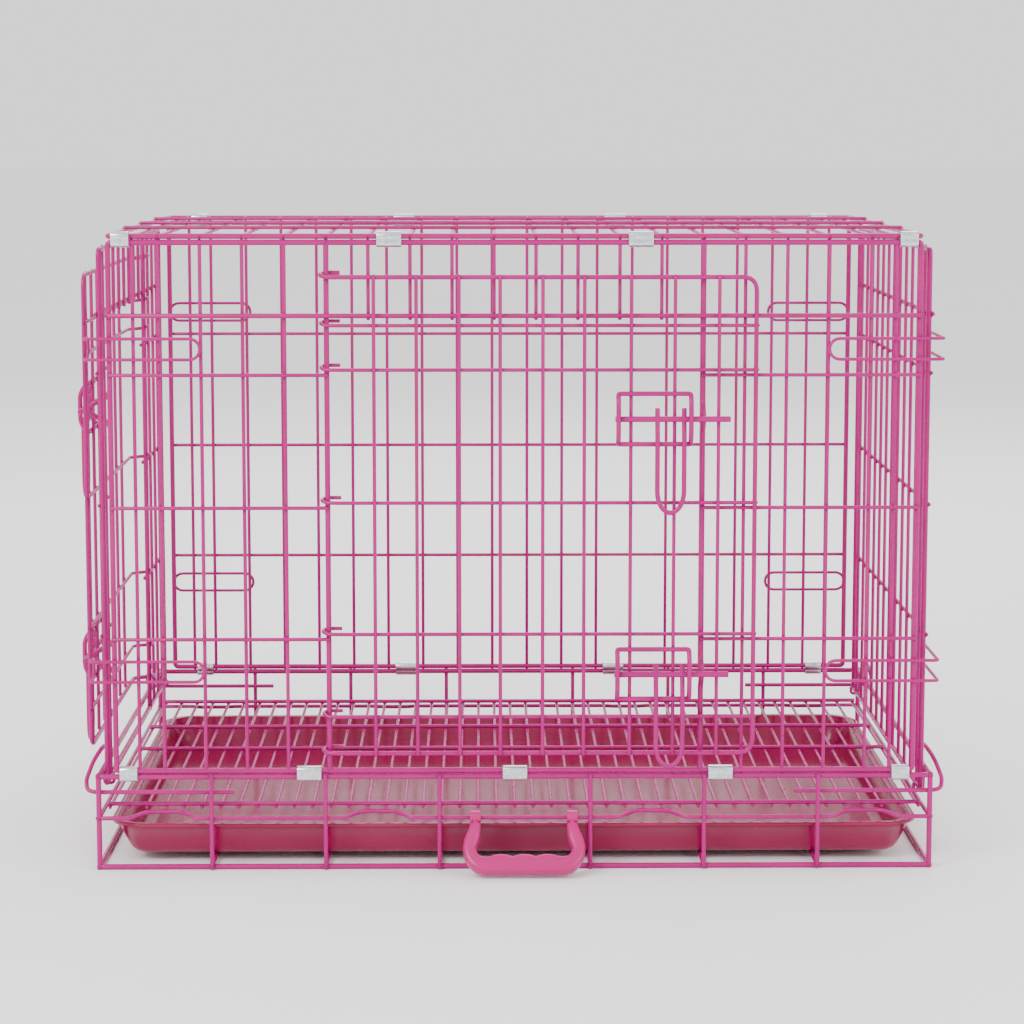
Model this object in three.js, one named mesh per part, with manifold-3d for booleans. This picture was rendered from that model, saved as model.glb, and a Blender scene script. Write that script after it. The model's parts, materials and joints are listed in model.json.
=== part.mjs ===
// A folding wire dog crate: a base frame with a slide-out tray and a floor grid, front, back and top
// panels that fold as a parallelogram, two end panels that fold inward, two doors with slide bolts.
// Millimetres, +X along the crate, +Y from front to back, +Z up, the floor at z = 0.
import * as THREE from 'three';
import { mergeVertices } from 'three/addons/utils/BufferGeometryUtils.js';
import Module from 'manifold-3d';

const wasm = await Module();
wasm.setup();

// ---- driving dimensions ----
const DEPTH = 485; // front panel plane to back panel plane
const PITCH = 37.33; // spacing of the upright wires
const HALF_BASE = 378; // centre of the base to the centre of its end wires
const HALF_PANEL = 361.4; // centre of a fold-down panel to its end posts, clear of the side door's hinges
const HALF_END = 371.5; // centre of the crate to the plane of an end panel
const NEAR_END_WIRE = 340; // last thin upright before an end post

const RAIL = 2.5; // radius of rails and posts
const END_RAIL = 2.4; // radius of the base's end wires
const STOUT = 2.2; // radius of door frames, latch wires and lintels
const MEDIUM = 2; // radius of base and floor wires
const THIN = 1.7; // radius of grid wires
const FINE = 1.5; // radius of the floor grid's cross wires
const LAYER = 3.2; // distance between two crossing layers of thin wire
const WELD_GAP = 0.35; // between sub-parts that are welded together in the real crate

const MID_Z = 47.7;
const RIM_Z = 86.2;
const PIVOT_Z = 91.7; // bottom rails of the front and back panels, on which they fold
const TOP_PIVOT_Z = 570; // top rails of the front and back panels
const RAIL_GAP = PIVOT_Z - RIM_Z; // from one rail to the rail clipped to it
const TOP_Z = TOP_PIVOT_Z + RAIL_GAP;
const LINTEL_Z = 505; // top of both door openings
const LEVELS = [452, 332.5, 213]; // horizontal wires of the panels

const KEEPER_X = 4.5 * PITCH; // posts on each side of the front door opening
const SIDE_KEEPER_Y = 2 * PITCH;
const SIDE_HINGE_Y = 9 * PITCH;
const END_POSTS = [14, 471];
const END_TOP_Z = 563;
const RIGHT_PIVOT_Z = 70; // the right end panel folds first, so its pivot is lower
const LEFT_PIVOT_Z = 79;

const DOOR_LEVELS = [539.5, 496.5, 456.9, 337.5, 218.2, 142.5, 109];
const SIDE_DOOR_LEVELS = [539.5, 496.5, 468, 337.5, 218.2, 142.5, 109];
const LATCH_LEVELS = { upper: 413.6, lower: 182.7 };
const OVERLAP = 46.7; // how far a door's free edge laps past its keeper post
const DOOR_STAND_OFF = 7; // from the hinge post to the door's own wires
const SIDE_STAND_OFF = 16;

const UPRIGHTS = [68.5, 172, 275.5]; // base uprights on each side of the middle
const PINK = 0xd81f86;

// ---- solids ----
const v = (x, y, z) => new THREE.Vector3(x, y, z);
const FLAT = Math.cos(Math.PI / 6); // a wire's flats are this share of its radius from its middle
const BOTTOM_Z = RAIL * FLAT; // the bottom wires stand on their flats

function toSolid(geometry) {
  const bare = geometry.index ? geometry.toNonIndexed() : geometry.clone();
  for (const name of ['normal', 'uv']) bare.deleteAttribute(name);
  const merged = mergeVertices(bare, 1e-4);
  return new wasm.Manifold(new wasm.Mesh({
    numProp: 3,
    vertProperties: new Float32Array(merged.attributes.position.array),
    triVerts: new Uint32Array(merged.index.array),
  }));
}

function toGeometry(solid) {
  const mesh = solid.getMesh();
  const geometry = new THREE.BufferGeometry();
  geometry.setAttribute('position', new THREE.BufferAttribute(mesh.vertProperties, 3));
  geometry.setIndex(new THREE.BufferAttribute(mesh.triVerts, 1));
  geometry.computeVertexNormals();
  return geometry;
}

const join = (solids) => solids.reduce((sum, next) => sum.add(next));

// A wire's cross-section: a polygon with flats `radius * FLAT` from its middle, one facing +X.
function section(radius, sides) {
  const shape = new THREE.Shape();
  const corner = (radius * FLAT) / Math.cos(Math.PI / sides);
  for (let i = 0; i < sides; i += 1) {
    const angle = ((i + 0.5) * 2 * Math.PI) / sides;
    const place = [corner * Math.cos(angle), corner * Math.sin(angle)];
    if (i === 0) shape.moveTo(...place);
    else shape.lineTo(...place);
  }
  shape.closePath();
  return shape;
}

// A straight wire from a to b, with one of its flats facing `flat`; a thin one is square.
function rod(a, b, radius, flat = v(0, 1, 0)) {
  const along = b.clone().sub(a);
  const geometry = new THREE.ExtrudeGeometry(section(radius, radius > THIN ? 6 : 4), {
    depth: along.length(), bevelEnabled: false,
  });
  along.normalize();
  const face = flat.clone().addScaledVector(along, -flat.dot(along)).normalize();
  const across = along.clone().cross(face);
  geometry.applyMatrix4(new THREE.Matrix4().makeBasis(face, across, along).setPosition(a));
  return toSolid(geometry);
}

// A wire's centre line, stepped at its own corner points rather than at even lengths.
class WireLine extends THREE.Curve {
  constructor(points) {
    super();
    this.points = points;
  }

  getPoint(t) {
    const place = t * (this.points.length - 1);
    const i = Math.min(Math.floor(place + 1e-9), this.points.length - 2);
    return this.points[i].clone().lerp(this.points[i + 1], place - i);
  }

  getPointAt(t) {
    return this.getPoint(t);
  }

  getTangentAt(t) {
    const last = this.points.length - 1;
    const i = Math.round(t * last);
    const tangent = v(0, 0, 0);
    if (i > 0) tangent.add(this.points[i].clone().sub(this.points[i - 1]).normalize());
    if (i < last) tangent.add(this.points[i + 1].clone().sub(this.points[i]).normalize());
    return tangent.normalize();
  }
}

function bentRod(points, radius) {
  return toSolid(new THREE.ExtrudeGeometry(section(radius, radius > FINE ? 6 : 4), {
    steps: points.length - 1, bevelEnabled: false, extrudePath: new WireLine(points),
  }));
}

// The corner points of a line, each inner corner rounded by two points `bend` away from it.
function rounded(points, bend) {
  return points.flatMap((point, i) => {
    if (i === 0 || i === points.length - 1) return [point];
    const back = points[i - 1].clone().sub(point).normalize();
    const on = points[i + 1].clone().sub(point).normalize();
    const middle = point.clone().addScaledVector(back.clone().add(on), bend * 0.28);
    return [point.clone().addScaledVector(back, bend), middle, point.clone().addScaledVector(on, bend)];
  });
}

const range = (count) => Array.from({ length: count }, (_, i) => i);
const mirrored = (values) => values.flatMap((value) => [-value, value]);

function wireMaterial() {
  return new THREE.MeshStandardMaterial({ color: PINK, roughness: 0.32, metalness: 0.15 });
}

function piece(name, solid, material = wireMaterial()) {
  const mesh = new THREE.Mesh(toGeometry(solid), material);
  mesh.name = name;
  return mesh;
}

// ---- base ----
function midWire(y, inward) {
  const ledge = [[-30, 0, 0], [-22, 8, 1.6], [-14, 15, 2.5], [14, 15, 2.5], [22, 8, 1.6], [30, 0, 0]];
  const ledges = [-320, -125, 125, 320].flatMap((x) => ledge.map(
    ([dx, dy, dz]) => v(x + dx, y + inward * dy, MID_Z + dz),
  ));
  return bentRod([v(-HALF_BASE, y, MID_Z), ...ledges, v(HALF_BASE, y, MID_Z)], MEDIUM);
}

// The open hook in which an end panel's bottom rail turns.
function pivotHook(side, y, z) {
  const outer = side * (HALF_END + RAIL + FINE + 0.4);
  const inner = side * (HALF_END - RAIL - FINE - 0.4);
  const drop = RAIL + FINE + 0.4;
  return bentRod([
    v(side * (HALF_BASE - 1.5), y, RIM_Z), v(outer, y, z), v(outer, y, z - drop / 2),
    v(side * (HALF_END + 2.2), y, z - drop), v(side * (HALF_END - 2.2), y, z - drop),
    v(inner, y, z - drop / 2), v(inner, y, z + 3),
  ], FINE);
}

// The wire along a corner's inner side that comes out at the corner and arches over the end rim.
function cornerArch(side, y, inward) {
  const from = (x, dy, z) => v(side * x, y + inward * dy, z);
  return bentRod([
    from(255, 4.2, 71), from(382, 4.2, 71), from(389, 6, 72.5), from(391, 12, 80), from(386, 26, 95),
    from(380, 38, 104), from(378, 48, 105), from(377.5, 56, 99), from(378, 59, RIM_Z),
  ], MEDIUM);
}

// The base's four outer wires at one height.
function baseRing(z) {
  const lengthwise = [0, DEPTH].map((y) => rod(v(-HALF_BASE, y, z), v(HALF_BASE, y, z), RAIL, v(0, 0, 1)));
  const ends = [-HALF_BASE, HALF_BASE].map((x) => rod(v(x, 0, z), v(x, DEPTH, z), END_RAIL, v(0, 0, 1)));
  return [...lengthwise, ...ends];
}

// The flat ring on the floor, and the wires across it under the tray.
function baseBottom() {
  const across = mirrored(UPRIGHTS).map((x) => rod(v(x, -1, 4), v(x, DEPTH + 1, 4), MEDIUM, v(0, 0, 1)));
  return piece('base_bottom', join([...baseRing(BOTTOM_Z), ...across]));
}

// Everything of the base above its bottom ring, which its posts stop just short of.
function baseFrame() {
  const ends = [[0, 1], [DEPTH, -1]];
  const parts = baseRing(RIM_Z);
  const foot = BOTTOM_Z * 2 + WELD_GAP;
  for (const side of [-1, 1]) {
    parts.push(rod(v(side * HALF_BASE, 0, MID_Z), v(side * HALF_BASE, DEPTH, MID_Z), MEDIUM, v(1, 0, 0)));
    for (const [y, inward] of ends) {
      parts.push(rod(v(side * HALF_BASE, y, foot), v(side * HALF_BASE, y, RIM_Z + 1), RAIL, v(1, 0.8, 0)));
      parts.push(cornerArch(side, y, inward));
    }
    const pivotZ = side < 0 ? LEFT_PIVOT_Z : RIGHT_PIVOT_Z;
    for (const y of [25.6, 459.4]) parts.push(pivotHook(side, y, pivotZ));
  }
  for (const x of mirrored(UPRIGHTS)) {
    for (const [y, inward] of ends) {
      const outside = y - inward * 3.3;
      parts.push(rod(v(x, outside, foot), v(x, outside, RIM_Z + 1.5), MEDIUM));
    }
  }
  parts.push(midWire(0, 1), midWire(DEPTH, -1));
  return piece('base_frame', join(parts));
}

function floorGrid() {
  const crossZ = 54;
  const weld = 2.8; // height of the lengthwise wires above the cross wires they are welded to
  const [front, back] = [18, 467];
  const halfLength = 372;
  const crossWires = 17;
  const parts = [front, 143, 242.5, 342, back].map((y) => rod(
    v(-halfLength, y, crossZ + weld), v(halfLength, y, crossZ + weld), MEDIUM, v(0, 0, 1),
  ));
  for (const i of range(crossWires)) {
    const x = (i / (crossWires - 1) - 0.5) * 2 * (halfLength - 2);
    parts.push(rod(v(x, front - 4, crossZ), v(x, back + 4, crossZ), FINE, v(0, 0, 1)));
  }
  return piece('floor_grid', join(parts));
}

// ---- tray ----
function roundedRectangle(halfX, halfY, corner) {
  const shape = new THREE.Shape();
  const corners = [[1, -1, -90], [1, 1, 0], [-1, 1, 90], [-1, -1, 180]];
  for (const [sx, sy, start] of corners) {
    const from = THREE.MathUtils.degToRad(start);
    shape.absarc(sx * (halfX - corner), sy * (halfY - corner), corner, from, from + Math.PI / 2, false);
  }
  return shape;
}

// A block with rounded corners whose walls lean out by `flare` from z = low to z = high.
function flaredBlock(halfX, halfY, corner, flare, low, high) {
  const height = high - low;
  const block = toSolid(new THREE.ExtrudeGeometry(roundedRectangle(halfX, halfY, corner), {
    depth: 1, curveSegments: 4, bevelSegments: 1, bevelThickness: height, bevelSize: flare,
  }).translate(0, DEPTH / 2, high));
  const room = new THREE.BoxGeometry(2 * halfX + 200, 2 * halfY + 200, height);
  return block.intersect(toSolid(room.translate(0, DEPTH / 2, (low + high) / 2)));
}

function tray() {
  const [bottom, top, wall] = [6.8, 40, 2.4];
  const [halfX, halfY, flare, lipWidth] = [353, 216, 13, 5.5];
  const outside = flaredBlock(halfX, halfY, 16, flare, bottom, top);
  const hollow = flaredBlock(halfX - wall, halfY - wall, 14, flare, bottom + wall, top + wall);
  const lip = toSolid(new THREE.ExtrudeGeometry(
    roundedRectangle(halfX + flare + lipWidth, halfY + flare + lipWidth, 26),
    { depth: wall, bevelEnabled: false, curveSegments: 4 },
  ).translate(0, DEPTH / 2, top - wall));
  const material = new THREE.MeshStandardMaterial({ color: 0xb31d5c, roughness: 0.3, metalness: 0 });
  return piece('tray', outside.add(lip).subtract(hollow), material);
}

// ---- carry handle ----
const HANDLE_X = 8;
const HANDLE_TILT = 42; // degrees outward from hanging straight down, resting on the floor

function carryHandle() {
  const thickness = 14;
  const outline = new THREE.Shape();
  outline.moveTo(-49, -3);
  outline.lineTo(-55.5, -34);
  outline.quadraticCurveTo(-55, -54, -38, -57);
  outline.lineTo(38, -57);
  outline.quadraticCurveTo(55, -54, 55.5, -34);
  outline.lineTo(49, -3);
  outline.lineTo(39, -3);
  outline.lineTo(43.5, -32);
  outline.quadraticCurveTo(42, -41, 33, -41);
  for (const finger of [22, 2, -18]) {
    outline.lineTo(finger + 6, -41);
    outline.quadraticCurveTo(finger, -37.5, finger - 6, -41);
  }
  outline.lineTo(-33, -41);
  outline.quadraticCurveTo(-42, -41, -43.5, -32);
  outline.lineTo(-39, -3);
  outline.closePath();
  const body = new THREE.ExtrudeGeometry(outline, {
    depth: thickness - 4, bevelThickness: 2, bevelSize: 1.5, bevelOffset: -1.5, bevelSegments: 1, curveSegments: 4,
  });
  const parts = [toSolid(body.rotateX(Math.PI / 2).translate(0, thickness / 2 - 2, 0))];
  const bores = [];
  for (const x of [-44, 44]) {
    const turnAcross = (geometry) => geometry.rotateZ(Math.PI / 2).translate(x, 0, 0);
    parts.push(toSolid(turnAcross(new THREE.CylinderGeometry(6.4, 6.4, 10, 16))));
    bores.push(toSolid(turnAcross(new THREE.CylinderGeometry(2.6, 2.6, 16, 12))));
  }
  const material = new THREE.MeshStandardMaterial({ color: 0xda3782, roughness: 0.4, metalness: 0 });
  const mesh = piece('carry_handle', join(parts).subtract(join(bores)), material);
  mesh.position.set(HANDLE_X, 0, MID_Z);
  mesh.rotation.x = -THREE.MathUtils.degToRad(HANDLE_TILT);
  return mesh;
}

// ---- fold-down panels ----
// A post at (x, y) with an outward bulge at each latch, against which the bolt's tip lies.
function keeperPost(x, y, low, high, outward, bulge) {
  const half = 13;
  const points = [v(x, y, low)];
  for (const z of [LATCH_LEVELS.lower, LATCH_LEVELS.upper]) {
    const out = v(x, y, 0).addScaledVector(outward, bulge);
    points.push(v(x, y, z - half), v(out.x, out.y, z - 4), v(out.x, out.y, z + 4), v(x, y, z + half));
  }
  return bentRod([...points, v(x, y, high)], RAIL);
}

const pitchPlaces = (from, to) => mirrored(range(to - from).map((i) => (from + i + 0.5) * PITCH));

const panelUpright = (x, y, radius) => rod(v(x, y, PIVOT_Z), v(x, y, TOP_PIVOT_Z), radius);

// The front panel is four flat sub-parts, so that the doorway between them stays open.
function frontBay(name, side) {
  const y = -LAYER;
  const place = (x, z, depth = 0) => v(side * x, depth, z);
  const parts = [PIVOT_Z, TOP_PIVOT_Z].map((z) => rod(place(KEEPER_X, z), place(HALF_PANEL, z), RAIL));
  parts.push(panelUpright(side * HALF_PANEL, 0, RAIL));
  for (const x of [5.5, 6.5, 7.5, 8.5].map((pitches) => pitches * PITCH)) {
    parts.push(panelUpright(side * x, 0, THIN));
  }
  parts.push(panelUpright(side * NEAR_END_WIRE, 0, THIN));
  parts.push(rod(place(KEEPER_X - RAIL, LINTEL_Z, y), place(HALF_PANEL + 1, LINTEL_Z, y), STOUT));
  for (const z of LEVELS) {
    parts.push(rod(place(KEEPER_X - 1, z, y), place(HALF_PANEL + 1, z, y), THIN));
  }
  if (side < 0) parts.push(panelUpright(-KEEPER_X, 0, RAIL));
  else parts.push(keeperPost(KEEPER_X, 0, PIVOT_Z, TOP_PIVOT_Z, v(0, -1, 0), 9));
  return piece(name, join(parts));
}

function frontHeader() {
  const reach = KEEPER_X - RAIL - WELD_GAP;
  const parts = [
    rod(v(-reach, 0, TOP_PIVOT_Z), v(reach, 0, TOP_PIVOT_Z), RAIL),
    rod(v(-reach, -LAYER, LINTEL_Z), v(reach, -LAYER, LINTEL_Z), STOUT),
  ];
  for (const x of pitchPlaces(0, 4)) parts.push(rod(v(x, 0, LINTEL_Z - 4), v(x, 0, TOP_PIVOT_Z), THIN));
  return piece('front_header', join(parts));
}

function frontSill() {
  const reach = KEEPER_X - RAIL - WELD_GAP;
  return piece('front_sill', rod(v(-reach, 0, PIVOT_Z), v(reach, 0, PIVOT_Z), RAIL));
}

function backPanel() {
  const parts = [PIVOT_Z, TOP_PIVOT_Z].map((z) => rod(v(-HALF_PANEL, DEPTH, z), v(HALF_PANEL, DEPTH, z), RAIL));
  for (const x of [-HALF_PANEL, HALF_PANEL]) parts.push(panelUpright(x, DEPTH, RAIL));
  for (const x of [...pitchPlaces(0, 9), -NEAR_END_WIRE, NEAR_END_WIRE]) {
    parts.push(panelUpright(x, DEPTH, THIN));
  }
  const y = DEPTH + LAYER;
  for (const z of LEVELS) {
    parts.push(rod(v(-HALF_PANEL - 1, y, z), v(HALF_PANEL + 1, y, z), THIN));
  }
  return piece('back_panel', join(parts));
}

function topPanel() {
  const lengthwise = [0, DEPTH].map((y) => rod(v(-HALF_PANEL, y, TOP_Z), v(HALF_PANEL, y, TOP_Z), RAIL));
  const across = (x, radius) => rod(v(x, 0, TOP_Z), v(x, DEPTH, TOP_Z), radius, v(0, 0, 1));
  const parts = [...lengthwise, across(-HALF_PANEL, RAIL), across(HALF_PANEL, RAIL)];
  for (const x of [...pitchPlaces(0, 9), -NEAR_END_WIRE, NEAR_END_WIRE]) parts.push(across(x, THIN));
  for (const quarter of [1, 2, 3]) {
    const y = (quarter * DEPTH) / 4;
    const z = TOP_Z + LAYER;
    parts.push(rod(v(-HALF_PANEL - 1, y, z), v(HALF_PANEL + 1, y, z), THIN, v(0, 0, 1)));
  }
  return piece('top_panel', join(parts));
}

// A long wire loop bent round a front corner of the crate, which holds the end panel from outside.
function cornerHook(name, side, z, endReach) {
  const [faceReach, halfGap, tip] = [81, 9.3, 9.3];
  const offset = RAIL + FINE + 0.3;
  const outer = HALF_BASE + RAIL + FINE + 0.7;
  const at = (x, dy, dz) => v(side * x, dy - offset, z + dz);
  const faceEnd = HALF_PANEL - faceReach;
  const half = (dz) => [
    at(faceEnd + tip, 0, dz), at(outer - 5, 0, dz), at(outer, 5, dz),
    at(outer, endReach + offset - tip / 2, dz),
  ];
  const wire = [at(faceEnd, 0, -1), ...half(-halfGap), at(outer, endReach + offset, 0), ...half(halfGap).reverse()];
  const closing = [at(faceEnd + tip, 0, halfGap), at(faceEnd, 0, 1), at(faceEnd, 0, -2)];
  return piece(name, join([bentRod(wire, FINE), bentRod(closing, FINE)]));
}

// The flat part of a back corner's loop, on the back panel's outer face. The part that goes on round
// the corner is left out, because the panel swings in between the end panels.
function backHook(name, side, z) {
  const [start, end, halfGap] = [HALF_PANEL - 85, HALF_PANEL + 0.3, 9.3];
  const at = (x, dz) => v(side * x, DEPTH + RAIL + FINE + 0.3, z + dz);
  const half = (dz) => [at(start + halfGap, dz), at(end - halfGap, dz)];
  const wire = [at(start, -1), ...half(-halfGap), at(end, 0), ...half(halfGap).reverse()];
  const closing = [at(start + halfGap, halfGap), at(start, 1), at(start, -2)];
  return piece(name, join([bentRod(wire, FINE), bentRod(closing, FINE)]));
}

// ---- end panels ----
function endPanel(name, side, pivotZ, hasDoor) {
  const x = side * HALF_END;
  const out = side * (HALF_END + LAYER);
  const flat = v(1, 0, 0);
  const upright = (y, low, radius) => rod(v(x, y, low), v(x, y, END_TOP_Z), radius, flat);
  const level = (y0, y1, z, radius) => rod(v(out, y0, z), v(out, y1, z), radius, flat);
  const [front, back] = END_POSTS;
  const parts = [
    rod(v(x, front - 6, pivotZ), v(x, back + 6, pivotZ), RAIL, flat),
    rod(v(x, front, END_TOP_Z), v(x, back, END_TOP_Z), RAIL, flat),
    upright(front, pivotZ, RAIL), upright(back, pivotZ, RAIL),
    level(front - 1, back + 1, LINTEL_Z, STOUT),
  ];
  for (const i of range(12)) {
    const y = (i + 1) * PITCH;
    const inOpening = hasDoor && y > SIDE_KEEPER_Y + 1 && y < SIDE_HINGE_Y - 1;
    const isPost = hasDoor && (i + 1 === 2 || i + 1 === 9);
    if (!isPost) parts.push(upright(y, inOpening ? LINTEL_Z - 4 : pivotZ, THIN));
  }
  const spans = hasDoor ? [[front - 1, SIDE_KEEPER_Y + 1], [SIDE_HINGE_Y - 1, back + 1]] : [[front - 1, back + 1]];
  for (const z of LEVELS) {
    for (const [y0, y1] of spans) parts.push(level(y0, y1, z, THIN));
  }
  if (hasDoor) {
    parts.push(upright(SIDE_HINGE_Y, pivotZ, RAIL));
    parts.push(keeperPost(x, SIDE_KEEPER_Y, pivotZ, END_TOP_Z, v(side, 0, 0), SIDE_STAND_OFF + 2));
  }
  return piece(name, join(parts));
}

// ---- doors and bolts, drawn with the hinge post at the origin, the free edge towards +X ----
const LATCH_WIDTH = 64.6;
const LATCH_HALF_HEIGHT = 22.6;
const LATCH_TO_KEEPER = 11.6;

// The end of a door wire wrapped round the hinge post, then carried out to the door's plane.
function hingeWrap(z, standOff) {
  const turn = 5;
  const wrap = [90, 135, 180, 225].map((degrees) => {
    const angle = THREE.MathUtils.degToRad(degrees);
    return v(turn * Math.cos(angle), turn * Math.sin(angle), z + (3.4 * (270 - degrees)) / 180);
  });
  const lead = standOff > 10 ? [v(-4.4, -standOff + 4, z), v(0, -standOff, z)] : [v(0, -turn - 0.3, z)];
  return [v(12, turn, z + 3.4), ...wrap, ...lead, v(10, -standOff, z)];
}

function door(name, width, levels, standOff, uprights) {
  const inner = -standOff;
  const outer = inner - LAYER;
  const [top, bottom] = [levels[0], levels.at(-1)];
  const free = width + OVERLAP;
  const frame = [
    ...hingeWrap(top, standOff), ...rounded([v(60, inner, top), v(free, inner, top), v(free, inner, bottom),
      v(60, inner, bottom)], 11), ...hingeWrap(bottom, standOff).reverse(),
  ];
  const parts = [bentRod(frame, STOUT - 0.1)];
  for (const z of levels.slice(1, -1)) {
    parts.push(bentRod([...hingeWrap(z, standOff), v(free, inner, z)], THIN));
  }
  for (const x of uprights) {
    parts.push(rod(v(x, outer, bottom - 1), v(x, outer, top + 1), THIN));
  }
  const right = width - LATCH_TO_KEEPER;
  const left = right - LATCH_WIDTH;
  for (const z of Object.values(LATCH_LEVELS)) {
    for (const dz of [-LATCH_HALF_HEIGHT, LATCH_HALF_HEIGHT]) {
      parts.push(rod(v(left - 1, outer - 3, z + dz), v(right + 1, outer - 3, z + dz), STOUT));
    }
    for (const x of [left, right]) {
      const side = [[22.6, 3], [19, 6.6], [12, 10]];
      const upper = side.map(([dz, out]) => v(x, outer - out, z + dz));
      const lower = side.map(([dz, out]) => v(x, outer - out, z - dz)).reverse();
      parts.push(bentRod([...upper, ...lower], STOUT));
    }
  }
  return piece(name, join(parts));
}

function bolt(name, width, standOff, z) {
  const y = -standOff - LAYER - 4.8; // clear of the door's uprights
  const hang = y - 3.3; // in front of the guide's lower wire
  const right = width - LATCH_TO_KEEPER;
  const [legA, legB] = [right - 29.8, right - 6];
  const shaft = rod(v(right - 67.4, y, z), v(right + 35.5, y, z), 2.7);
  const leg = (x) => [v(x, y, z + 10), v(x, y, z - 5), v(x, hang, z - 15), v(x, hang, z - 68)];
  const middle = (legA + legB) / 2;
  const tip = [v(legA + 4, hang, z - 78), v(middle, hang, z - 85), v(legB - 4, hang, z - 78)];
  const handle = bentRod([...leg(legA), ...tip, ...leg(legB).reverse()], STOUT);
  return piece(name, shaft.add(handle));
}

// ---- hinge clips: sheet-metal bands round two neighbouring rails ----
function stadium(radius, path = new THREE.Shape()) {
  path.absarc(0, 0, radius, Math.PI, 0, false);
  path.absarc(0, RAIL_GAP, radius, 0, Math.PI, false);
  path.closePath();
  return path;
}

function hingeClip(name, x, y, lowerZ, length) {
  const [room, sheet] = [0.8, 1];
  const band = stadium(RAIL + room + sheet);
  band.holes.push(stadium(RAIL + room, new THREE.Path()));
  const geometry = new THREE.ExtrudeGeometry(band, { depth: length, bevelEnabled: false, curveSegments: 3 });
  geometry.applyMatrix4(new THREE.Matrix4().makeBasis(v(0, 1, 0), v(0, 0, 1), v(1, 0, 0)));
  const material = new THREE.MeshStandardMaterial({ color: 0xdfe3e6, roughness: 0.35, metalness: 0.9 });
  const mesh = piece(name, toSolid(geometry.translate(-length / 2, 0, 0)), material);
  mesh.position.set(x, y, lowerZ);
  return mesh;
}

const CORNER_CLIP = { x: (NEAR_END_WIRE + HALF_PANEL) / 2 - 0.4, length: 16 };
const BACK_CLIP = { x: (8.5 * PITCH + NEAR_END_WIRE) / 2, length: 17 };
const clipRow = (outer, inner) => [
  { x: -outer.x, length: outer.length }, ...inner.map((x) => ({ x, length: 22 })), outer,
];
const CLIP_ROWS = [
  { name: 'front_base_clip', y: 0, z: RIM_Z, clips: clipRow(CORNER_CLIP, [-5 * PITCH, 0, 5 * PITCH]) },
  { name: 'back_base_clip', y: DEPTH, z: RIM_Z, clips: clipRow(BACK_CLIP, [-3 * PITCH, 3 * PITCH]) },
  { name: 'front_top_clip', y: 0, z: TOP_PIVOT_Z, clips: clipRow(CORNER_CLIP, [-3 * PITCH, 3 * PITCH]) },
  { name: 'back_top_clip', y: DEPTH, z: TOP_PIVOT_Z, clips: clipRow(BACK_CLIP, [-3 * PITCH, 3 * PITCH]) },
];

// ---- assembly ----
const crate = new THREE.Group();
crate.add(baseBottom(), baseFrame(), floorGrid(), tray(), carryHandle());
crate.add(frontBay('front_left_bay', -1), frontBay('front_right_bay', 1), frontHeader(), frontSill());
crate.add(backPanel(), topPanel());
crate.add(endPanel('left_end_panel', -1, LEFT_PIVOT_Z, true));
crate.add(endPanel('right_end_panel', 1, RIGHT_PIVOT_Z, false));

for (const [hand, side, endReach] of [['left', -1, 20], ['right', 1, 90]]) { // short beside the side door
  for (const [height, z] of [['upper', 475.3], ['lower', 183.6]]) {
    crate.add(cornerHook(`front_${hand}_${height}_hook`, side, z, endReach));
    crate.add(backHook(`back_${hand}_${height}_hook`, side, z));
  }
}

const frontDoorWidth = 2 * KEEPER_X;
const frontDoorUprights = [-13.5, 25.8, 64.8, 106.3, 143.3, 181.3, 217.8, 255.8, 293.6]
  .map((fromKeeper) => frontDoorWidth - fromKeeper);
const frontDoor = new THREE.Group();
frontDoor.position.set(-KEEPER_X, 0, 0);
frontDoor.add(door('front_door', frontDoorWidth, DOOR_LEVELS, DOOR_STAND_OFF, frontDoorUprights));

const sideDoorWidth = SIDE_HINGE_Y - SIDE_KEEPER_Y;
const sideDoorUprights = [-13.5, 25.8, 64.8, 102.8, 140.8, 178.8, 219.4]
  .map((fromKeeper) => sideDoorWidth - fromKeeper);
const sideDoor = new THREE.Group();
sideDoor.position.set(-HALF_END, SIDE_HINGE_Y, 0);
sideDoor.rotation.z = -Math.PI / 2;
sideDoor.add(door('side_door', sideDoorWidth, SIDE_DOOR_LEVELS, SIDE_STAND_OFF, sideDoorUprights));

for (const [height, z] of Object.entries(LATCH_LEVELS)) {
  frontDoor.add(bolt(`front_${height}_bolt`, frontDoorWidth, DOOR_STAND_OFF, z));
  sideDoor.add(bolt(`side_${height}_bolt`, sideDoorWidth, SIDE_STAND_OFF, z));
}
crate.add(frontDoor, sideDoor);

for (const row of CLIP_ROWS) {
  row.clips.forEach(({ x, length }, i) => {
    crate.add(hingeClip(`${row.name}_${i + 1}`, x, row.y, row.z, length));
  });
}

// The origin is on the floor, under the middle of the whole crate.
const box = new THREE.Box3().setFromObject(crate);
const middle = box.getCenter(v(0, 0, 0));
crate.position.set(-middle.x, -middle.y, -box.min.z);

export default crate;
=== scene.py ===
import json
import math

import bpy
from mathutils import Matrix, Vector
from mathutils.geometry import intersect_line_line


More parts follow.
